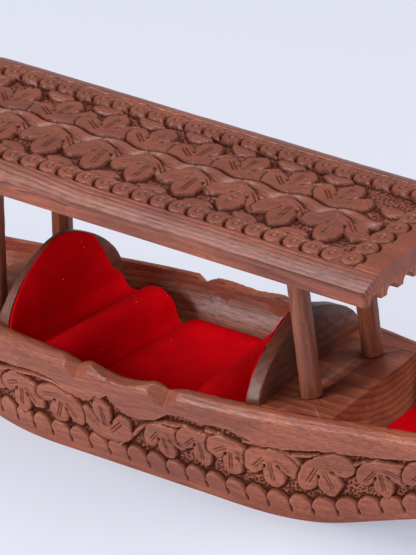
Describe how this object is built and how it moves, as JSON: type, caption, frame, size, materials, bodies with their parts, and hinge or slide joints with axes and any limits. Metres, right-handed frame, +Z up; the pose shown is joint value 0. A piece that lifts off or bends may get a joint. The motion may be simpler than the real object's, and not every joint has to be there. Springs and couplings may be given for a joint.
{
  "type": "carved wooden shikara boat showpiece",
  "caption": "Carved walnut lake boat showpiece: flat-bottomed hull with felt-lined wells, arched seat boards and a cambered, leaf-carved canopy on raked posts.",
  "frame": {"origin": "middle of the hull's length and beam, on the flat bottom it stands on", "axes": "+X to the bow, +Y to port, +Z up"},
  "size_m": [0.44, 0.0776, 0.1034],
  "materials": {
    "walnut": "hand-rubbed satin",
    "felt": "short-pile felt"
  },
  "bodies": {
    "root": {"hull": "walnut", "canopy": "walnut", "post_bow_port": "walnut", "post_bow_starboard": "walnut", "post_stern_port": "walnut", "post_stern_starboard": "walnut", "board_stern": "walnut", "board_bow": "walnut", "seat_stern": "walnut", "seat_bow": "walnut", "seat_felt_stern": "felt", "seat_felt_bow": "felt", "cabin_floor_felt": "felt", "well_felt_bow": "felt", "well_felt_stern": "felt"}
  },
  "joints": []
}
